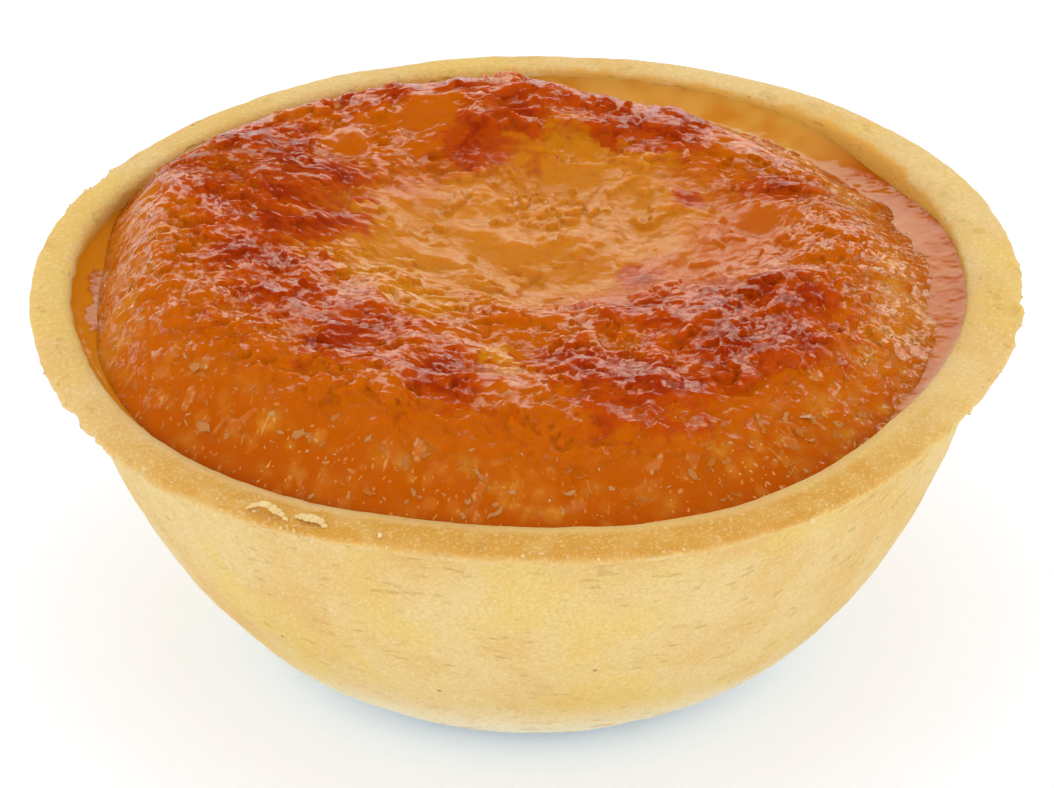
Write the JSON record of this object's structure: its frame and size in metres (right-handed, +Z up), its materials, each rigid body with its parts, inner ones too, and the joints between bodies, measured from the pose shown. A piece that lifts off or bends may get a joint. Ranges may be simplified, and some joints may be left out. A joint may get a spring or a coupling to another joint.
{
  "type": "orange tartlet",
  "caption": "Small deep tart: a bowl of shortcrust pastry with a thick flat rim, filled with a domed, browned mass of orange pulp in syrup.",
  "frame": {"origin": "middle of the flat underside, on the surface that the tartlet stands on", "axes": "+Z up through the middle of the bowl; -Y is the side that faces the viewer of the picture, +X is its right"},
  "size_m": [0.0762, 0.0767, 0.0345],
  "materials": {
    "shortcrust": "dry, matt, pale baked shortcrust, tan on top of the rim and soaked orange on the inside",
    "orange_pulp": "wet, glossy set orange pulp, yellow in the sunken middle and browned red on the ridges",
    "orange_syrup": "clear, smooth, glossy orange syrup"
  },
  "bodies": {
    "root": {"pastry_shell": "shortcrust", "orange_filling": "orange_pulp", "syrup_ring": "orange_syrup"}
  },
  "joints": []
}
